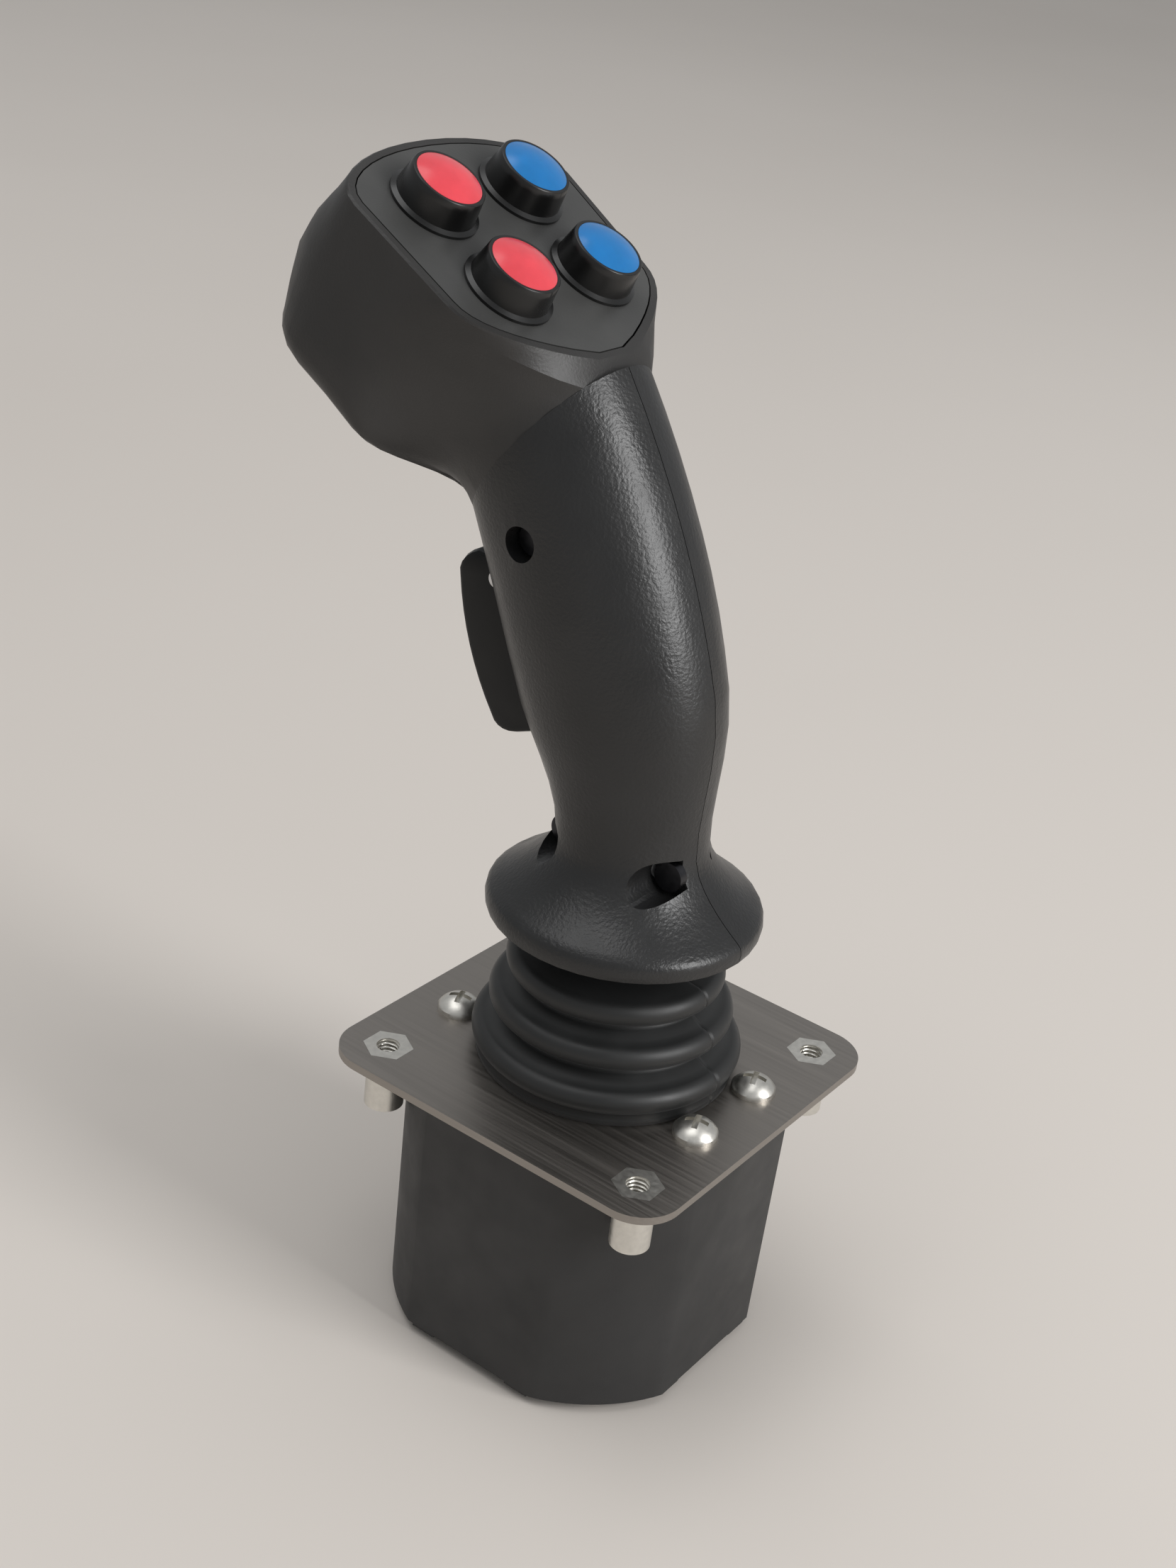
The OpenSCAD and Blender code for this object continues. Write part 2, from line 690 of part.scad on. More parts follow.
// One ring of points round half of the grip, moved in by inset, at one section of the leaning axis
function grip_ring(z, side, inset, from) =
    let(t = lean_tilt(z), y = lean_y(z), a = half_depth(z) - inset, b = half_width(z) - inset)
    [for (i = [0:20]) let(f = side * (i * 9 - 90))
        [side * (from + (b - from) * cos(f)), y + a * sin(f) * cos(t), z - a * sin(f) * sin(t)]];

grip_levels = concat(
    [for (t = [0, 0.25, 0.55, 0.8, 1]) rest_z + t * rim_edge_h],
    [for (t = [0.05, 0.13, 0.23, 0.34, 0.46, 0.6, 0.78, 1]) mix(rest_z + rim_edge_h, waist_z, t)],
    [for (k = [1:13]) mix(waist_z, seam_z, k / 13)]);
cavity_levels = [for (k = [0:9]) mix(adapter_top + 0.2, seam_z - collar_deep, k / 9)];

module grip_shell(side) {
    difference() {
        skin([for (z = grip_levels) grip_ring(z, side, 0, parting_gap / 2)]);
        skin([for (z = cavity_levels) grip_ring(z, side, grip_wall, -1)]);
        translate([0, 0, rest_z - 1]) cylinder(h = adapter_top + 0.2 - rest_z + 1, r = adapter_r + seat_gap);
        at_seam() translate([0, 0, -insert_deep]) cylinder(h = insert_deep + 5, r = insert_r + seat_gap);
        rest_groove();
        for (s = [-1, 1]) translate([0, s * rest_screw_y, rest_screw_z]) screw_way(side, rest_seat_x, rest_bore_r, 6);
        at_side_screw() screw_way(side, side_seat_x, side_bore_r, side_seat_x - 0.5);
        at_trigger() translate([-trigger_w / 2 - slot_gap, -6.5, slot_low])
            cube([trigger_w + 2 * slot_gap, 30, slot_high - slot_low]);
        at_trigger() along_x() translate([0, 0, -pin_len / 2 - 0.1]) cylinder(h = pin_len + 0.2, r = trigger_pin_r + seat_gap);
        switch_dowel_ways();
    }
}

// Hollow under the hand rest, round the socket of the adapter
module rest_groove() {
    wall = 2.4;
    rotate_extrude() polygon([[adapter_r + 3.2, rest_z - 1], [rest_r - wall, rest_z - 1],
        [rest_r - wall, rest_z + 1], [adapter_r + 3.2, rest_z + 7.2]]);
}

// Clearance for a shell screw: a deep bore for its head on the left, a pilot hole on the right
module screw_way(side, seat, bore_r, reach) {
    along_x() {
        if (side < 0) translate([0, 0, -palm_b - 8]) cylinder(h = palm_b + 8 - seat, r = bore_r);
        translate([0, 0, -seat - 1]) cylinder(h = seat + 1 + reach, r = grip_screw_r + seat_gap);
    }
}

module at_side_screw() at_seam() translate([0, side_screw_fwd, -side_screw_back]) children();

rest_seat_x = 3.4;
side_seat_x = palm_b - 6;

module grip_left() {
    color("#26282a") grip_shell(-1);
}

module grip_right() {
    color("#26282a") grip_shell(1);
}

module grip_screws() {
    color("#6e7175") {
        for (s = [-1, 1]) translate([-rest_seat_x, s * rest_screw_y, rest_screw_z]) rotate([0, -90, 0])
            screw(grip_screw_r, rest_seat_x + 5.5, grip_head_r, 1.8);
        at_side_screw() translate([-side_seat_x, 0, 0]) rotate([0, -90, 0])
            screw(grip_screw_r, 2 * side_seat_x - 1, grip_head_r, grip_head_h);
    }
}

// Tube that joins the head to the grip
module neck_insert() {
    color("#55585c") difference() {
        at_seam() {
            translate([0, 0, -insert_deep]) cylinder(h = insert_deep + head_wall + insert_flange_t, r = insert_r);
            translate([0, 0, head_wall + seat_gap]) cylinder(h = insert_flange_t - seat_gap, r = insert_flange_r);
        }
        at_seam() translate([0, 0, -insert_deep - 1])
            cylinder(h = insert_deep + head_wall + insert_flange_t + 2, r = insert_r - insert_wall);
        at_side_screw() along_x() translate([0, 0, -insert_r - 5])
            cylinder(h = 2 * insert_r + 10, r = grip_screw_r + 0.1);
        head_screw_places() translate([0, 0, -1]) cylinder(h = 10, r = 1 + seat_gap);
    }
}

module head_screw_places() {
    for (a = [90, 210, 330]) at_seam() rotate(a) translate([insert_r + 1.2, 0, 0]) children();
}

// ---- Head ----

rim_n = -bezel_h;
seam_skew = tan(90 - face_tilt - seam_tilt);
seam_reach = seam_a * cos(90 - face_tilt - seam_tilt);
under_ref = 16;
under_end = -24.9;
under_power = 4.6;
under_drop = seam_n - seam_reach - (rim_n - cheek_h - chin_r);
cheek_lean = -2.8;
side_taper = 0.05;
nose_rise = 1.6;
round_power = 0.98;
ridge_top = -10;
ridge_mid = 1;
ridge_low = -6;
ridge_h = 12;
brow_top = 12;
brow_low = 7;
side_steps = 9;
nose_steps = 9;

// Plan of the head at depth h below its rim, moved in by inset
function chin_inset(h) = h <= cheek_h ? 0 : chin_r * (1 - cos(asin(min(1, (h - cheek_h) / chin_r))));
function head_half_w(h) = head_w - cheek_lean * min(1, h / cheek_h) - chin_inset(h);
function head_nose(h) = rim_front + nose_bulge * sin(180 * pow(min(h, cheek_h) / (cheek_h - 1.4), nose_rise))
    - 1.6 * chin_inset(h);
function head_dip(h, v) = under_drop * smooth(h / (cheek_h + chin_r))
    * pow(max(0, under_ref - max(v, under_end)) / (under_ref - under_end), under_power);
function head_rear(h, n) = let(seam = seam_v - (n + head_dip(h, under_end) - seam_n) * seam_skew)
    mix(-rim_rear, seam, smooth(h / 2.5));
function head_ridge(h) = h < ridge_h
    ? ridge_mid + (ridge_top - ridge_mid) * pow(1 - h / ridge_h, 2)
    : ridge_mid + (ridge_low - ridge_mid) * pow((h - ridge_h) / (cheek_h + 2 - ridge_h), 2);
function neck_half_w(n) = palm_b * sqrt(max(0.08, 1 - pow((n - seam_n) / seam_reach, 2)));

function head_ring(h, inset) =
    let(n = rim_n - h, rear = head_rear(h, n) + inset, w = head_half_w(h) - inset,
        neck = max(2, neck_half_w(n + head_dip(h, under_end)) - inset),
        ridge = head_ridge(h) + 0.3 * inset,
        brow = mix(brow_top, brow_low, smooth(h / cheek_h)) - 0.5 * chin_inset(h),
        nose = head_nose(h) - inset - brow, sway = smooth(h / 14),
        w_rear = w - side_taper * (brow - ridge),
        side = concat(
            [for (i = [0:side_steps - 1]) let(t = i / side_steps)
                [mix(neck, w_rear, mix(pow(sin(90 * t), 0.85), (1 - cos(180 * t)) / 2, sway)), mix(rear, ridge, t)]],
            [[w_rear, ridge], [(w + w_rear) / 2, (ridge + brow) / 2]],
            [for (i = [0:nose_steps - 1]) let(f = i * 90 / nose_steps)
                [w * pow(cos(f), round_power), brow + nose * pow(sin(f), round_power)]]),
        m = len(side))
    [for (p = concat(side, [[0, brow + nose]], [for (i = [m - 1:-1:0]) [-side[i][0], side[i][1]]]))
        [p[0], p[1], n + head_dip(h, p[1])]];

ledge_w = 1.6;
recess_gap = 0.25;
floor_h = cheek_h + chin_r - head_wall;

// The rim's outline drawn in by inset and set flat at depth h below the rim
function flat_ring(h, inset) = [for (p = head_ring(0, inset)) [p[0], p[1], rim_n - h]];

module head_housing() {
    color("#26282a") difference() {
        at_head() skin(concat(
            [for (a = [90, 72, 54, 36, 18, 0]) head_ring(cheek_h + chin_r * sin(a), 0)],
            [for (h = [0.84, 0.67, 0.5, 0.34, 0.2]) head_ring(cheek_h * h, 0)],
            [head_ring(2.5, 0), head_ring(1.2, 0), head_ring(0.35, 0), head_ring(0, 0.3)],
            [flat_ring(0, rim_w - recess_gap), flat_ring(face_t, rim_w - recess_gap)],
            [flat_ring(face_t + 0.01, rim_w + ledge_w), head_ring(face_t + 1.4, rim_w + ledge_w)],
            [for (h = [0.28, 0.5, 0.75, 1]) head_ring(cheek_h * h, head_wall)],
            [head_ring(mix(cheek_h, floor_h, 0.6), head_wall), head_ring(floor_h, head_wall)]), true);
        at_seam() {
            translate([0, 0, -5]) cylinder(h = 5 + head_wall + 3, r = insert_r + seat_gap);
            translate([0, 0, head_wall]) cylinder(h = insert_flange_t + 2, r = insert_flange_r + 0.3);
        }
        head_screw_places() translate([0, 0, -5]) cylinder(h = 10, r = 1 + seat_gap);
    }
}

module head_screws() {
    color("#6e7175") head_screw_places() translate([0, 0, head_wall + insert_flange_t])
        screw(1, insert_flange_t + head_wall - 0.3, 1.3, 1.3);
}

module face_plate() {
    color("#2c2e31") at_head() difference() {
        translate([0, 0, rim_n - face_t]) linear_extrude(face_t)
            polygon([for (p = head_ring(0, rim_w)) [p[0], p[1]]]);
        for (b = BUTTONS) translate([b[1] * button_u, b[2] * button_v, rim_n - face_t - 1])
            cylinder(h = face_t + 2, r = bushing_r + 0.05);
    }
}

// ---- Buttons ----

cap_r = cap_d / 2;
bore_r = cap_r + run_gap;
bezel_r = bore_r + bezel_wall;
bezel_foot_r = bezel_r + 0.65;
bezel_flange_r = bezel_foot_r + 0.8;
bushing_r = 5.9;
plunger_r = plunger_d / 2;
cap_t = 2.2;
well_depth = cap_t + button_travel + 0.2;
bushing_len = 12;
nut_h = 2;
switch_r = 6.4;
switch_h = 9;
chamber_h = 6.5;
button_wire_r = 0.25;

module at_button(b) at_head() translate([b[1] * button_u, b[2] * button_v, 0]) children();

module button_bezel(b) {
    color("#111214") at_button(b) rotate_extrude() polygon([
        [bore_r, 0], [bezel_r - 0.15, 0], [bezel_r, -0.15], [bezel_foot_r, rim_n + 0.9],
        [bezel_flange_r, rim_n + 0.5], [bezel_flange_r, rim_n], [bushing_r, rim_n], [bushing_r, -bushing_len],
        [plunger_r + run_gap, -bushing_len], [plunger_r + run_gap, -well_depth], [bore_r, -well_depth]]);
}

module button_cap(b) {
    dome_r = (cap_r * cap_r + dome_h * dome_h) / (2 * dome_h);
    color(b[3]) at_button(b) {
        intersection() {
            translate([0, 0, -cap_t]) cylinder(h = cap_t + dome_h, r = cap_r);
            translate([0, 0, dome_h - dome_r]) sphere(r = dome_r);
        }
        translate([0, 0, -bushing_len]) cylinder(h = bushing_len - cap_t / 2, r = plunger_r);
    }
}

module button_switch(b) {
    color("#1b1c1e") at_button(b) translate([0, 0, -bushing_len - switch_h]) {
        difference() {
            cylinder(h = switch_h, r = switch_r);
            translate([0, 0, switch_h - chamber_h]) cylinder(h = chamber_h + 1, r = plunger_r + 0.1);
        }
        for (s = [-1, 1]) translate([s * 2.5 - 0.4, -1.2, -4]) cube([0.8, 2.4, 4.5]);
    }
}

module button_spring(b) {
    color("#aeb2b6") at_button(b) translate([0, 0, -bushing_len - chamber_h + button_wire_r])
        wire(coil(2.8, 2.8, chamber_h - 2 * button_wire_r, 4, 12), [0, 0, 1], button_wire_r, 4);
}

module button_nuts() {
    color("#8f9296") for (b = BUTTONS) at_button(b) translate([0, 0, rim_n - face_t - nut_h]) difference() {
        cylinder(h = nut_h, r = 8.1, $fn = 6);
        translate([0, 0, -1]) cylinder(h = nut_h + 2, r = bushing_r + seat_gap);
    }
}

// ---- Trigger ----

// The trigger's own frame: y points out of the front of the grip and z up along the blade
trigger_lean = 22.9;
trigger_level = rest_z + trigger_section_h;
trigger_front = [lean_y(trigger_level) + half_depth(trigger_level) * cos(lean_tilt(trigger_level)),
                 trigger_level - half_depth(trigger_level) * sin(lean_tilt(trigger_level))];
trigger_pivot = [0, trigger_front[0] - trigger_inset * cos(trigger_lean),
                 trigger_front[1] + trigger_inset * sin(trigger_lean)];
trigger_hub_r = 3.6;
trigger_pin_r = 1.5;
pin_len = 17.2;
slot_gap = 0.35;
nose_top = 5.2;
nose_back = 4;
blade_top = 1.35;
heel_h = 3.5;
blade_low = heel_h - trigger_len - 2.1;
heel_back = 5;
slot_low = blade_low - heel_h - 0.9;
slot_high = nose_top + 0.7;

module at_trigger() translate(trigger_pivot) rotate([-trigger_lean, 0, 0]) children();

// Side view of the trigger with its front edge moved in
function trigger_ring(x, inset) =
    let(reach = trigger_reach - inset, mid = (blade_top + blade_low) / 2, half = (blade_top - blade_low) / 2)
    [for (p = concat(
        [for (f = [90:-18:0]) [nose_back + (reach - nose_back) * cos(f), blade_top + (nose_top - inset - blade_top) * sin(f)]],
        [for (t = [0.75:-0.25:-0.75]) [reach + trigger_crown * (1 - t * t), mid + half * t]],
        [for (f = [0:-18:-90]) [heel_back + (reach - heel_back) * cos(f), blade_low + (heel_h - inset) * sin(f)]],
        [[0, blade_low - heel_h + inset], [0, trigger_hub_r - 0.4]]))
        [x, p[0], p[1]]];

module trigger() {
    w = trigger_w / 2;
    color("#0f1012") at_trigger() difference() {
        union() {
            skin([for (e = [[w, 1.1], [w - 0.35, 0.35], [w - 1.2, 0], [1.2 - w, 0], [0.35 - w, 0.35], [-w, 1.1]])
                trigger_ring(e[0], e[1])]);
            translate([-w + 0.3, 0, 0]) along_x() cylinder(h = trigger_w - 0.6, r = trigger_hub_r);
        }
        along_x() translate([0, 0, -w - 1]) cylinder(h = trigger_w + 2, r = trigger_pin_r + run_gap);
        translate([spring_x, -trigger_hub_r - 1, -trigger_hub_r - 1])
            cube([spring_pocket_w, 2 * trigger_hub_r + 1, trigger_hub_r + nose_top + 2]);
    }
}

spring_x = 2.6;
spring_pocket_w = 3.6;

module trigger_pin() {
    color("#c8ccd0") at_trigger() along_x() translate([0, 0, -pin_len / 2]) cylinder(h = pin_len, r = trigger_pin_r);
}

// Torsion spring round the pin, with one leg down the blade and one on the switch
module trigger_spring() {
    r = 2.3;
    turns = 4.25;
    path = concat(
        [[spring_x + 0.6, -0.7, -9], [spring_x + 0.6, -0.7, -5]],
        [for (k = [0:turns * 14]) let(a = -20 - 360 * k / 14)
            [spring_x + 0.6 + 2.4 * k / (turns * 14), r * cos(a), r * sin(a)]],
        [[spring_x + 3, -4.4, -5.5], [spring_x + 3.2, -6.1, -8]]);
    color("#aeb2b6") at_trigger() wire(path, [1, 0, 0], 0.3, 4);
}

// Snap switch behind the trigger
switch_at = -16;
switch_front = -3.4;
switch_size = [6.4, 9.6, 14];
plunger_tip_r = 1.2;
dowel_r = 1.2;
dowel_len = 28;

module trigger_switch() {
    color("#232427") at_trigger() difference() {
        translate([-switch_size[0] / 2, switch_front - switch_size[1], switch_at - switch_size[2] / 2])
            cube(switch_size);
        translate([0, switch_front - 7, switch_at]) along_y() cylinder(h = 8, r = plunger_tip_r + run_gap);
        switch_dowel_places() translate([0, 0, -10]) cylinder(h = 20, r = dowel_r + seat_gap);
    }
}

module switch_dowel_places() {
    for (z = [-1, 1]) translate([0, switch_front - 7.2, switch_at + z * 4.6]) along_x() children();
}

module switch_dowel_ways() {
    at_trigger() switch_dowel_places() translate([0, 0, -dowel_len / 2 - 0.1])
        cylinder(h = dowel_len + 0.2, r = dowel_r + seat_gap);
}

module switch_dowels() {
    color("#9aa0a6") at_trigger() switch_dowel_places() translate([0, 0, -dowel_len / 2])
        cylinder(h = dowel_len, r = dowel_r);
}

module trigger_plunger() {
    color("#b8342f") at_trigger() translate([0, -plunger_tip_r - 0.08, switch_at]) {
        sphere(r = plunger_tip_r);
        along_y() mirror([0, 0, 1]) cylinder(h = 6, r = plunger_tip_r);
    }
}

base_housing();
bottom_cover();
cover_screws();
mounting_plate();
clinch_standoffs();
plate_screws();
boot();
boot_clamp_ring();
gimbal_frame();
frame_screws();
frame_bushes();
spring_seat();
sensor_board();
hall_sensors();
board_screws();
connector_header();
gimbal_ring();
ring_pins();
ring_bushes();
pivot_block();
cross_axle();
stick_shaft();
spring_collar();
centering_spring();
magnet_holder();
sensor_magnet();
grip_adapter();
adapter_screws();
grip_left();
grip_right();
grip_screws();
neck_insert();
head_housing();
head_screws();
face_plate();
button_nuts();
trigger();
trigger_pin();
trigger_spring();
trigger_switch();
trigger_plunger();
switch_dowels();
for (b = BUTTONS) {
    button_bezel(b);
    button_switch(b);
    button_spring(b);
    button_cap(b);
}
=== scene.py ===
# %% [markdown]
# # A two-axis industrial joystick
# This lesson dresses a finished CAD model of a machine control: a moulded hand grip on a ribbed
# rubber boot, a steel mounting plate and a moulded base with the gimbal inside. The CAD part is
# loaded as a fixed frame. Blender adds what a drawing does not hold: finishes, the soft boot,
# screw threads and light. Everything is in metres, in the frame of the part.

# %% Load the part
import math

import bpy
from mathutils import Matrix, Vector


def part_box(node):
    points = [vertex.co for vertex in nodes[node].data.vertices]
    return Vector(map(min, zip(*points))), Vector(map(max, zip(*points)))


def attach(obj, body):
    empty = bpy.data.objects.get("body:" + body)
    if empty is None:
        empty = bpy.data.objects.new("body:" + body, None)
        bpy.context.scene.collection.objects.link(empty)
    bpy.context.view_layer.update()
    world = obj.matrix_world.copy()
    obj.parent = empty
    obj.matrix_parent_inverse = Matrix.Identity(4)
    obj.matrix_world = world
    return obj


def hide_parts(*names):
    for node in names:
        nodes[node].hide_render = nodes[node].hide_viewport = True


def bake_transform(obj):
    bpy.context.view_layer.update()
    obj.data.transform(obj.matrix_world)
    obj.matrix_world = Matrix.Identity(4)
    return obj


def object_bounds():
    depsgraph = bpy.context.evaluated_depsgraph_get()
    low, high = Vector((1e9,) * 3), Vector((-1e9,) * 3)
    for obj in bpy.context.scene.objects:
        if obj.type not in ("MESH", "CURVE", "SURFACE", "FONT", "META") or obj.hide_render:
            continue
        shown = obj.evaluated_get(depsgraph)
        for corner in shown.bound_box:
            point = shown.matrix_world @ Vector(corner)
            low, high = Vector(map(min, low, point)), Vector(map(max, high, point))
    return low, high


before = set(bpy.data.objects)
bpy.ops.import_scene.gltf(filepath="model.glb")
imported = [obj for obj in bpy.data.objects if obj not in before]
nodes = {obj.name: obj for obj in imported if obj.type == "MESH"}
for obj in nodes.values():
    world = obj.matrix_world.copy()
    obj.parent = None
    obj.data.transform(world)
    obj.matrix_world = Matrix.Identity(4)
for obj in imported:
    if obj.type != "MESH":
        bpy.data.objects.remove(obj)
cad_low, cad_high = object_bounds()
scene = bpy.context.scene
scene.view_settings.view_transform = "Standard"
mm = 0.001
print("parts:", len(nodes), "height in mm:", round((cad_high - cad_low).z / mm, 1))

# %% [markdown]
# ## Camera
# The view is a product shot from the operator's left, a little above the grip. A camera can be
# placed by a matrix, by a Track To constraint or by heading, dip and roll. The last is used
# here, because the shot is rolled a few degrees and each angle keeps its own plain meaning.

# %% Camera
heading, dip, roll = 33.60, 26.91, 7.34
stand = (-0.27084, -0.16926, 0.21472)
camera_data = bpy.data.cameras.new("camera")
camera_data.lens = 48.52
camera_data.sensor_width = 36.0
camera = bpy.data.objects.new("camera", camera_data)
scene.collection.objects.link(camera)
camera.location = stand
turned = Matrix.Rotation(math.radians(heading - 90), 3, "Z")
dipped = Matrix.Rotation(math.radians(90 - dip), 3, "X")
rolled = Matrix.Rotation(math.radians(roll), 3, "Z")
camera.rotation_euler = (turned @ dipped @ rolled).to_euler()
camera_data.clip_start = 0.01
camera_data.clip_end = 20
scene.camera = camera
looks_along = camera.matrix_basis.to_3x3() @ Vector((0, 0, -1))
print("camera looks along", [round(v, 3) for v in looks_along])

# %% [markdown]
# ## Floor and light
# A studio sweep of pale cloth is common for such parts. A plane that runs past the view does
# the same, and keeps the soft shadow that tells how the base stands on its screw heads. The
# world gives an even fill, and two wide lamps model the round forms: wide lamps make soft
# highlights, which black plastic needs, since it shows little else.

# %% A material with its shader at hand
def new_material(name):
    material = bpy.data.materials.new(name)
    material.use_nodes = True
    tree = material.node_tree
    return material, tree, tree.nodes["Principled BSDF"]


print("materials so far:", len(bpy.data.materials))

# %% Pale floor
floor_material, floor_tree, floor_shader = new_material("pale_cloth")
cloth_noise = floor_tree.nodes.new("ShaderNodeTexNoise")
cloth_noise.inputs["Scale"].default_value = 6
cloth_noise.inputs["Detail"].default_value = 6
cloth_tint = floor_tree.nodes.new("ShaderNodeValToRGB")
cloth_dark, cloth_light = cloth_tint.color_ramp.elements
cloth_dark.position = 0.3
cloth_dark.color = (0.60, 0.555, 0.51, 1)
cloth_light.position = 0.7
cloth_light.color = (0.66, 0.615, 0.57, 1)
floor_tree.links.new(cloth_noise.outputs["Fac"], cloth_tint.inputs["Fac"])
floor_tree.links.new(cloth_tint.outputs["Color"], floor_shader.inputs["Base Color"])
floor_shader.inputs["Roughness"].default_value = 0.75
bpy.ops.mesh.primitive_plane_add(size=8, location=(0, 0, cad_low.z))
floor = bpy.context.object
floor.name = "floor"
floor.data.materials.append(floor_material)
print("floor at", round(cad_low.z / mm, 2), "mm")

# %% World and lamps
world = bpy.data.worlds.new("studio")
scene.world = world
world.use_nodes = True
sky = world.node_tree.nodes["Background"]
sky.inputs["Color"].default_value = (0.97, 0.985, 1.0, 1)
sky.inputs["Strength"].default_value = 0.42
lamp_target = Vector((0, 0, 0.05))


def wide_lamp(name, azimuth, height, reach, width, depth, power):
    lamp_data = bpy.data.lights.new(name, "AREA")
    lamp_data.shape = "RECTANGLE"
    lamp_data.size = width
    lamp_data.size_y = depth
    lamp_data.energy = power
    lamp = bpy.data.objects.new(name, lamp_data)
    scene.collection.objects.link(lamp)
    angle = math.radians(azimuth)
    lamp.location = (reach * math.cos(angle), reach * math.sin(angle), height)
    aim = lamp_target - lamp.location
    lamp.rotation_euler = aim.to_track_quat("-Z", "Y").to_euler()
    print(name, "stands", [round(v, 2) for v in lamp.location])


wide_lamp("window_lamp", azimuth=-84, height=0.80, reach=1.5, width=0.6, depth=1.0, power=21)
wide_lamp("ceiling_lamp", azimuth=120, height=1.9, reach=0.5, width=1.8, depth=1.4, power=15)

# %% [markdown]
# ## Moulded plastic
# The grip, head and base are nylon and ABS mouldings from spark-eroded tools: the steel leaves
# a fine pebbled grain. A displaced mesh could carry the grain, but at a few tenths of a
# millimetre a bump is lighter and looks the same. Two noises are mixed: small pebbles for the
# grain, and slow clouds that vary the roughness as handling does.

# %% Grain for plastic, rubber and paint
def clouds(tree, scale, detail):
    noise = tree.nodes.new("ShaderNodeTexNoise")
    noise.inputs["Scale"].default_value = scale
    noise.inputs["Detail"].default_value = detail
    place = tree.nodes.new("ShaderNodeTexCoord")
    tree.links.new(place.outputs["Object"], noise.inputs["Vector"])
    return noise.outputs["Fac"]


def spread(tree, value, low, high):
    ramp = tree.nodes.new("ShaderNodeMapRange")
    ramp.inputs["From Min"].default_value = 0.3
    ramp.inputs["From Max"].default_value = 0.7
    ramp.inputs["To Min"].default_value = low
    ramp.inputs["To Max"].default_value = high
    tree.links.new(value, ramp.inputs["Value"])
    return ramp.outputs["Result"]


def tinted(tree, shader, value, dark, light):
    mix = tree.nodes.new("ShaderNodeMix")
    mix.data_type = "RGBA"
    tree.links.new(spread(tree, value, 0, 1), mix.inputs["Factor"])
    mix.inputs["A"].default_value = (*dark, 1)
    mix.inputs["B"].default_value = (*light, 1)
    tree.links.new(mix.outputs["Result"], shader.inputs["Base Color"])


def bumped(tree, shader, value, depth, strength):
    bump = tree.nodes.new("ShaderNodeBump")
    bump.inputs["Distance"].default_value = depth
    bump.inputs["Strength"].default_value = strength
    tree.links.new(value, bump.inputs["Height"])
    tree.links.new(bump.outputs["Normal"], shader.inputs["Normal"])


print("grain helpers: clouds, spread, tinted, bumped")

# %% Plastics
tint_clouds = 55
handling_clouds = 130


def plastic(name, dark, light, rough, pebble_mm, pebble_depth, strength=0.6):
    material, tree, shader = new_material(name)
    tinted(tree, shader, clouds(tree, tint_clouds, 5), dark, light)
    handled = spread(tree, clouds(tree, handling_clouds, 4), *rough)
    tree.links.new(handled, shader.inputs["Roughness"])
    bumped(tree, shader, clouds(tree, 1 / (pebble_mm * mm), 2), pebble_depth * mm, strength)
    return material


grip_plastic = plastic("pebbled_nylon", (0.010, 0.010, 0.0102), (0.016, 0.016, 0.0162),
                       (0.30, 0.40), 0.6, 0.09, 1.0)
head_plastic = plastic("satin_nylon", (0.018, 0.0172, 0.0165), (0.027, 0.0255, 0.0245),
                       (0.40, 0.52), 0.45, 0.05, 0.8)
face_plastic = plastic("face_nylon", (0.040, 0.040, 0.039), (0.056, 0.056, 0.054),
                       (0.34, 0.46), 0.4, 0.03, 0.7)
base_plastic = plastic("base_nylon", (0.018, 0.018, 0.0182), (0.025, 0.025, 0.0255),
                       (0.48, 0.62), 0.3, 0.02)
bezel_plastic = plastic("polished_bezel", (0.004, 0.004, 0.004), (0.007, 0.007, 0.007),
                        (0.24, 0.34), 0.4, 0.003)
trigger_plastic = plastic("trigger_nylon", (0.0025, 0.003, 0.0035), (0.004, 0.0045, 0.005),
                          (0.30, 0.40), 0.35, 0.008)
switch_plastic = plastic("switch_case", (0.02, 0.02, 0.022), (0.03, 0.03, 0.032),
                         (0.35, 0.5), 0.4, 0.01)
ivory_plastic = plastic("header_nylon", (0.62, 0.58, 0.47), (0.70, 0.66, 0.55),
                        (0.4, 0.5), 0.3, 0.01)
orange_plastic = plastic("plunger_acetal", (0.50, 0.06, 0.04), (0.58, 0.08, 0.05),
                         (0.3, 0.4), 0.3, 0.005)
trigger_shader = trigger_plastic.node_tree.nodes["Principled BSDF"]
trigger_shader.inputs["Specular IOR Level"].default_value = 0.22
print("plastics:", grip_plastic.name, head_plastic.name, base_plastic.name)

# %% [markdown]
# ## Metals
# The plate is steel with a dull chromate coat, the screws and standoffs are bright zinc plate,
# the spring is drawn wire and the bushes are bronze. All are the same shader with other
# colours and roughness, so one function makes them. Rolled sheet has fine streaks along one
# direction. Stretching the noise along an axis gives them without an image.

# %% Metals with a grain direction
metal_shade = 0.88


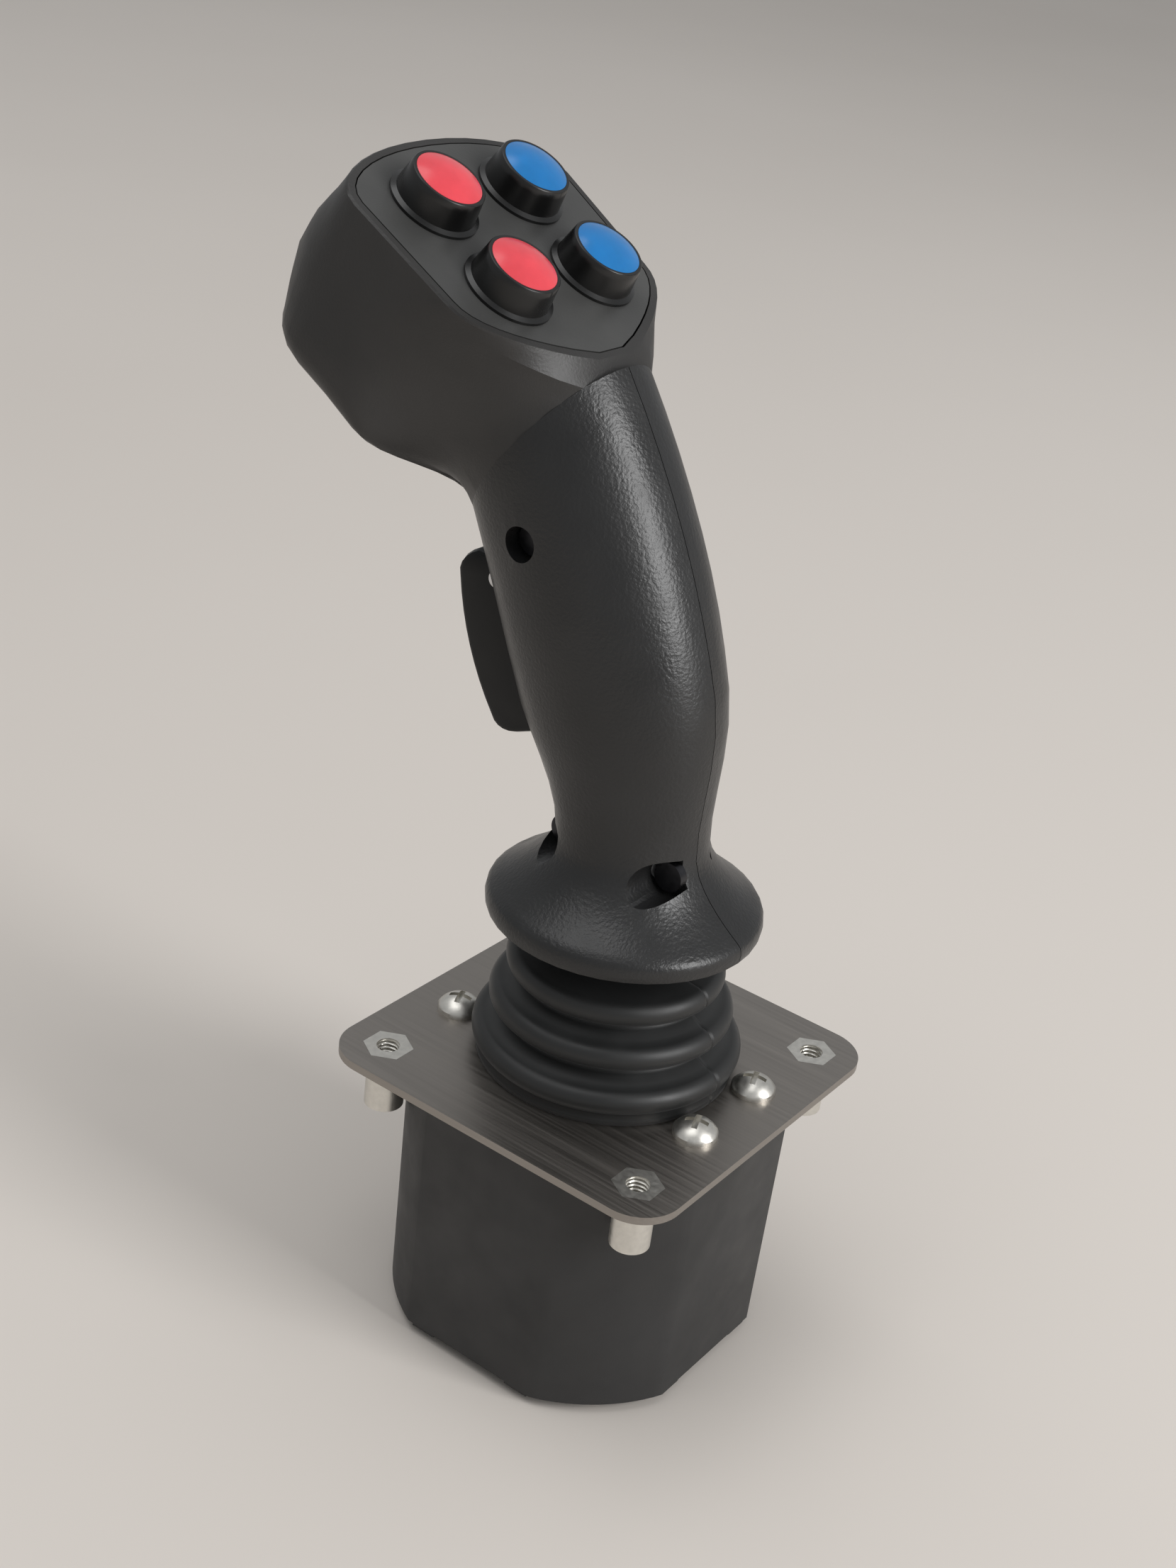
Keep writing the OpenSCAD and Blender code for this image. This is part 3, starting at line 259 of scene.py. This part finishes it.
def metal(name, colour, rough, streak=(1, 1, 1), grain=900, depth=0.004):
    material, tree, shader = new_material(name)
    shader.inputs["Metallic"].default_value = 1.0
    place = tree.nodes.new("ShaderNodeTexCoord")
    stretch = tree.nodes.new("ShaderNodeMapping")
    stretch.inputs["Scale"].default_value = streak
    tree.links.new(place.outputs["Object"], stretch.inputs["Vector"])
    noise = tree.nodes.new("ShaderNodeTexNoise")
    noise.inputs["Scale"].default_value = grain
    noise.inputs["Detail"].default_value = 4
    tree.links.new(stretch.outputs["Vector"], noise.inputs["Vector"])
    grains = noise.outputs["Fac"]
    dark = tuple(metal_shade * c for c in colour)
    tinted(tree, shader, grains, dark, colour)
    tree.links.new(spread(tree, grains, *rough), shader.inputs["Roughness"])
    bumped(tree, shader, grains, depth * mm, strength=0.4)
    return material


plate_steel = metal("brushed_sheet", (0.34, 0.315, 0.29), (0.34, 0.46),
                    streak=(1, 0.02, 1), grain=1400, depth=0.003)
bright_zinc = metal("bright_zinc", (0.74, 0.72, 0.67), (0.34, 0.42), depth=0.0015)
ground_steel = metal("ground_steel", (0.66, 0.66, 0.67), (0.2, 0.3), streak=(1, 1, 0.1))
cast_zinc = metal("cast_zinc", (0.42, 0.43, 0.45), (0.4, 0.55), grain=300, depth=0.02)
bronze = metal("sintered_bronze", (0.55, 0.36, 0.17), (0.4, 0.55), grain=1500, depth=0.01)
spring_steel = metal("spring_wire", (0.55, 0.56, 0.57), (0.2, 0.32))
black_steel = metal("black_oxide", (0.05, 0.05, 0.055), (0.3, 0.42))
nickel = metal("nickel_plate", (0.72, 0.70, 0.66), (0.1, 0.18))
print("metals:", plate_steel.name, bright_zinc.name, bronze.name)

# %% [markdown]
# ## Button caps and circuit board
# The caps are moulded in coloured, slightly cloudy plastic with a polished top. Some light
# enters and comes out again nearby, which a little subsurface scattering gives. The board is
# green solder resist over glass cloth.

# %% Caps and board
cap_shade = 0.86
cap_gloss = (0.20, 0.27)


def cap_plastic(name, colour):
    material, tree, shader = new_material(name)
    deep = tuple(cap_shade * c for c in colour)
    tinted(tree, shader, clouds(tree, 240, 3), deep, colour)
    tree.links.new(spread(tree, clouds(tree, 400, 3), *cap_gloss), shader.inputs["Roughness"])
    bumped(tree, shader, clouds(tree, 2500, 2), depth=0.002 * mm, strength=0.3)
    shader.inputs["Subsurface Weight"].default_value = 0.12
    shader.inputs["Subsurface Scale"].default_value = 0.001
    return material


red_cap = cap_plastic("red_cap", (0.74, 0.065, 0.085))
blue_cap = cap_plastic("blue_cap", (0.008, 0.17, 0.46))
board_green = plastic("solder_resist", (0.01, 0.11, 0.05), (0.015, 0.15, 0.07),
                      (0.25, 0.35), 0.6, 0.01)
print("caps:", red_cap.name, blue_cap.name, "board:", board_green.name)

# %% [markdown]
# ## Rubber
# The boot is moulded rubber: nearly black, with a dry sheen that lifts at grazing angles and a
# very fine tooth.

# %% Rubber
boot_rubber = plastic("boot_rubber", (0.0085, 0.009, 0.009), (0.013, 0.0135, 0.0135),
                      (0.42, 0.56), 0.25, 0.012)
rubber_shader = boot_rubber.node_tree.nodes["Principled BSDF"]
rubber_shader.inputs["Sheen Weight"].default_value = 0.05
print("rubber:", boot_rubber.name)

# %% [markdown]
# ## Finishes on the CAD solids
# Each solid gets one finish by name. The lofted shells arrive as flat triangles, so a small
# geometry-node group joins their corners, shades them smooth and keeps edges sharp where the
# form really turns. A modifier does this without touching the solid itself.

# %% Smooth shading with sharp edges
def smoothing_group(sharp_degrees):
    group = bpy.data.node_groups.new("smooth_with_edges", "GeometryNodeTree")
    group.interface.new_socket("Geometry", in_out="INPUT", socket_type="NodeSocketGeometry")
    group.interface.new_socket("Geometry", in_out="OUTPUT", socket_type="NodeSocketGeometry")
    entry = group.nodes.new("NodeGroupInput")
    leave = group.nodes.new("NodeGroupOutput")
    weld = group.nodes.new("GeometryNodeMergeByDistance")
    weld.inputs["Distance"].default_value = 0.001 * mm
    faces = group.nodes.new("GeometryNodeSetShadeSmooth")
    faces.domain = "FACE"
    edges = group.nodes.new("GeometryNodeSetShadeSmooth")
    edges.domain = "EDGE"
    edges.inputs["Shade Smooth"].default_value = False
    angle = group.nodes.new("GeometryNodeInputMeshEdgeAngle")
    compare = group.nodes.new("FunctionNodeCompare")
    compare.operation = "GREATER_THAN"
    compare.inputs[1].default_value = math.radians(sharp_degrees)
    group.links.new(entry.outputs[0], weld.inputs["Geometry"])
    group.links.new(weld.outputs["Geometry"], faces.inputs["Geometry"])
    group.links.new(faces.outputs["Geometry"], edges.inputs["Geometry"])
    group.links.new(angle.outputs["Unsigned Angle"], compare.inputs[0])
    group.links.new(compare.outputs["Result"], edges.inputs["Selection"])
    group.links.new(edges.outputs["Geometry"], leave.inputs[0])
    return group


sharp_from = 36
smooth_edges = smoothing_group(sharp_from)
for node in nodes.values():
    node.modifiers.new("smooth_with_edges", "NODES").node_group = smooth_edges
print("smoothed", len(nodes), "solids, sharp from", sharp_from, "degrees")

# %% Finishes by name
buttons = ["red_front", "red_rear", "blue_front", "blue_rear"]
finishes = {
    "base_housing": base_plastic, "bottom_cover": base_plastic, "mounting_plate": plate_steel,
    "cover_screws": bright_zinc, "clinch_standoffs": bright_zinc, "plate_screws": bright_zinc,
    "frame_screws": bright_zinc, "board_screws": bright_zinc, "boot": boot_rubber,
    "boot_clamp_ring": cast_zinc, "gimbal_frame": cast_zinc, "spring_seat": spring_steel,
    "frame_bushes": bronze, "ring_bushes": bronze, "ring_pins": ground_steel,
    "sensor_board": board_green, "hall_sensors": switch_plastic, "connector_header": ivory_plastic,
    "gimbal_ring": cast_zinc, "pivot_block": cast_zinc, "cross_axle": ground_steel,
    "stick_shaft": ground_steel, "spring_collar": cast_zinc, "centering_spring": spring_steel,
    "magnet_holder": switch_plastic, "sensor_magnet": nickel, "grip_adapter": cast_zinc,
    "adapter_screws": black_steel, "grip_left": grip_plastic, "grip_right": grip_plastic,
    "grip_screws": black_steel, "neck_insert": cast_zinc, "head_housing": head_plastic,
    "head_screws": black_steel, "face_plate": face_plastic, "button_nuts": cast_zinc,
    "trigger": trigger_plastic, "trigger_pin": ground_steel, "trigger_spring": spring_steel,
    "trigger_switch": switch_plastic, "trigger_plunger": orange_plastic,
    "switch_dowels": ground_steel,
}
for button in buttons:
    finishes[button + "_bezel"] = bezel_plastic
    finishes[button + "_switch"] = switch_plastic
    finishes[button + "_spring"] = spring_steel
    finishes[button + "_cap"] = red_cap if button.startswith("red") else blue_cap
for name, finish in finishes.items():
    nodes[name].data.materials.clear()
    nodes[name].data.materials.append(finish)
print("finished", len(finishes), "of", len(nodes), "solids")

# %% [markdown]
# ## Threads in the standoffs
# The drawing holds each standoff as a plain bore at the thread's minor diameter. A screw thread
# can be a texture, but these four are looked into from above, so each is a real helix: a thin
# liner whose inner wall rises and falls once per turn. Its ridge is one function of height and
# angle, and the same mesh data serves all four.

# %% The thread's sizes and its ridge
bore_r = 2.1 * mm
thread_pitch = 0.8 * mm
thread_depth = 0.24 * mm
liner_back = 0.15 * mm
thread_from, thread_to = -11.4 * mm, -0.35 * mm
rows_per_turn = 8
columns = 28


def thread_radius(turn, height):
    phase = (height / thread_pitch - turn) % 1
    return bore_r - thread_depth * max(0.0, 1 - abs(4 * phase - 2))


print("ridge from", round(thread_radius(0, thread_pitch / 2) / mm, 2), "to", bore_r / mm, "mm")

# %% One liner, from rings of points closed into a tube
def ring_points(radii, height):
    turns = [2 * math.pi * k / columns for k in range(columns)]
    return [(r * math.cos(a), r * math.sin(a), height) for r, a in zip(radii, turns)]


def thread_mesh():
    rows = int((thread_to - thread_from) / thread_pitch * rows_per_turn)
    points = []
    for row in range(rows + 1):
        height = thread_from + (thread_to - thread_from) * row / rows
        points += ring_points([thread_radius(k / columns, height) for k in range(columns)], height)
    for height in (thread_to, thread_from):
        points += ring_points([bore_r + liner_back] * columns, height)
    rings = rows + 3
    faces = []
    for row in range(rings):
        here, there = row * columns, (row + 1) % rings * columns
        for k in range(columns):
            beside = (k + 1) % columns
            faces.append((here + k, there + k, there + beside, here + beside))
    mesh = bpy.data.meshes.new("standoff_thread")
    mesh.from_pydata(points, [], faces)
    mesh.materials.append(bright_zinc)
    return mesh


thread = thread_mesh()
print("liner of", len(thread.polygons), "faces")

# %% A liner in each standoff
standoff_at = 27.5 * mm
for k, (sx, sy) in enumerate([(-1, -1), (1, -1), (1, 1), (-1, 1)]):
    liner = bpy.data.objects.new("standoff_thread_" + str(k + 1), thread)
    scene.collection.objects.link(liner)
    liner.location = (sx * standoff_at, sy * standoff_at, 0)
    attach(liner, "base")
print("threads of", round((thread_to - thread_from) / thread_pitch, 1), "turns")

# %% [markdown]
# ## Boot
# The boot hides the gimbal and must bend with the stick. It is a turned form, so its profile is
# swept round the axis: three rolls, each smaller than the one below, with tight grooves between.
# A joystick tilts about two crossed axes, and a skin can follow one joint at a time, so the boot
# is made as two bands that meet in a groove: the lower band from the base to the upper groove,
# the upper from that groove to the stick. The two halves of its mould leave a faint line down
# each side, made as a shallow nick in the outer wall alone.

# %% Angles round the boot
round_steps = 160
parting_azimuth = -90.0
parting_width = 0.55
parting_depth = 0.28 * mm


def turn_angles():
    """Even angles with a cut of 0, and four close together at each parting line."""
    angles = [(360 * k / round_steps, 0.0) for k in range(round_steps)]
    for line in (parting_azimuth % 360, (parting_azimuth + 180) % 360):
        angles = [(a, cut) for a, cut in angles if abs(a - line) > 1.2 * parting_width]
        angles += [(line - parting_width, 0.0), (line - 0.2 * parting_width, 1.0),
                   (line + 0.2 * parting_width, 1.0), (line + parting_width, 0.0)]
    return sorted(angles)


print("angles round the boot:", len(turn_angles()))

# %% A turned skin
def turned_skin(name, outside, inside, material):
    """A closed band between two walls, given from the bottom up as (radius, height)."""
    profile = outside + inside[::-1]
    nicked = [1] * len(outside) + [0] * len(inside)
    count = len(profile)
    turns = turn_angles()
    points = []
    for degrees, cut in turns:
        angle = math.radians(degrees)
        for (r, z), share in zip(profile, nicked):
            here = r - cut * share * parting_depth
            points.append((here * math.cos(angle), here * math.sin(angle), z))
    faces = []
    for k in range(len(turns)):
        here, there = k * count, (k + 1) % len(turns) * count
        for i in range(count):
            j = (i + 1) % count
            faces.append((here + i, there + i, there + j, here + j))
    mesh = bpy.data.meshes.new(name)
    mesh.from_pydata(points, [], faces)
    mesh.validate()
    piece = bpy.data.objects.new(name, mesh)
    scene.collection.objects.link(piece)
    mesh.materials.append(material)
    mesh.shade_smooth()
    print(name, "has", len(mesh.polygons), "faces")
    return piece

# %% Rolls and grooves
boot_low, boot_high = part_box("boot")
boot_r = boot_high.x
boot_top = boot_high.z
roll_pitch = 7.4 * mm
roll_step = 2.4 * mm
roll_edge = 2.3 * mm
skin = 1.3 * mm
first_roll_z = 4.3 * mm
rolls = [(boot_r - roll_edge - k * roll_step, first_roll_z + k * roll_pitch) for k in range(3)]


def roll_arc(k, inset, start=-90, end=90, steps=14):
    """The bulge of roll k, from its start to its end in degrees above the horizon."""
    cx, cz = rolls[k]
    radius = roll_edge - inset
    angles = [math.radians(start + (end - start) * i / steps) for i in range(steps + 1)]
    return [(cx + radius * math.cos(a), cz + radius * math.sin(a)) for a in angles]


def groove(k, inset):
    """The slope off roll k and the deep fold under the roll above it."""
    (r0, z0), (r1, _) = rolls[k], rolls[k + 1]
    fold_r = r1 - 1.1 * mm
    return [(r0 - 0.9 * mm - inset, z0 + 2.75 * mm), (r1 - 0.1 * mm - inset, z0 + 3.7 * mm),
            (fold_r - inset, z0 + 4.3 * mm), (fold_r + 0.3 * mm - inset, z0 + 4.75 * mm)]


print("rolls stand at", [round(z / mm, 1) for _, z in rolls], "mm")

# %% Lower band: lip and two rolls
lip_r = boot_r - 1.0 * mm
lip_foot, lip_top = 0.05 * mm, 1.0 * mm


def lower_wall(inset):
    return ([(lip_r - inset, lip_foot), (lip_r - inset, lip_top)]
            + roll_arc(0, inset, start=-70) + groove(0, inset)
            + roll_arc(1, inset) + groove(1, inset))


boot_lower = turned_skin("boot_lower", lower_wall(0), lower_wall(skin), boot_rubber)

# %% Upper band: the top roll and the neck
neck_outer = 9.3 * mm
neck_inner = 7.6 * mm
neck_round = 0.4 * mm
top_roll_z = rolls[2][1]
shoulder_outside = [
    (neck_outer + 3.0 * mm, top_roll_z + 2.9 * mm),
    (neck_outer + 0.8 * mm, top_roll_z + 4.2 * mm),
    (neck_outer, top_roll_z + 5.6 * mm),
    (neck_outer, boot_top - neck_round),
    (neck_outer - neck_round, boot_top),
]
shoulder_inside = [
    (neck_outer + 2.4 * mm, top_roll_z + 1.6 * mm),
    (neck_inner + 0.6 * mm, top_roll_z + 2.6 * mm),
    (neck_inner, top_roll_z + 3.6 * mm),
    (neck_inner, boot_top - neck_round),
    (neck_inner, boot_top),
]
upper_outside = groove(1, 0)[2:] + roll_arc(2, 0) + shoulder_outside
upper_inside = groove(1, skin)[2:] + roll_arc(2, skin) + shoulder_inside
boot_upper = turned_skin("boot_upper", upper_outside, upper_inside, boot_rubber)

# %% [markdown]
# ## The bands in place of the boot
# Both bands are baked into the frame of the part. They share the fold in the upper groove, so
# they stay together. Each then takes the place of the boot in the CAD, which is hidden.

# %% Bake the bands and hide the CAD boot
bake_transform(boot_lower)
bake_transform(boot_upper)
for piece in (boot_lower, boot_upper):
    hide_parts("boot")
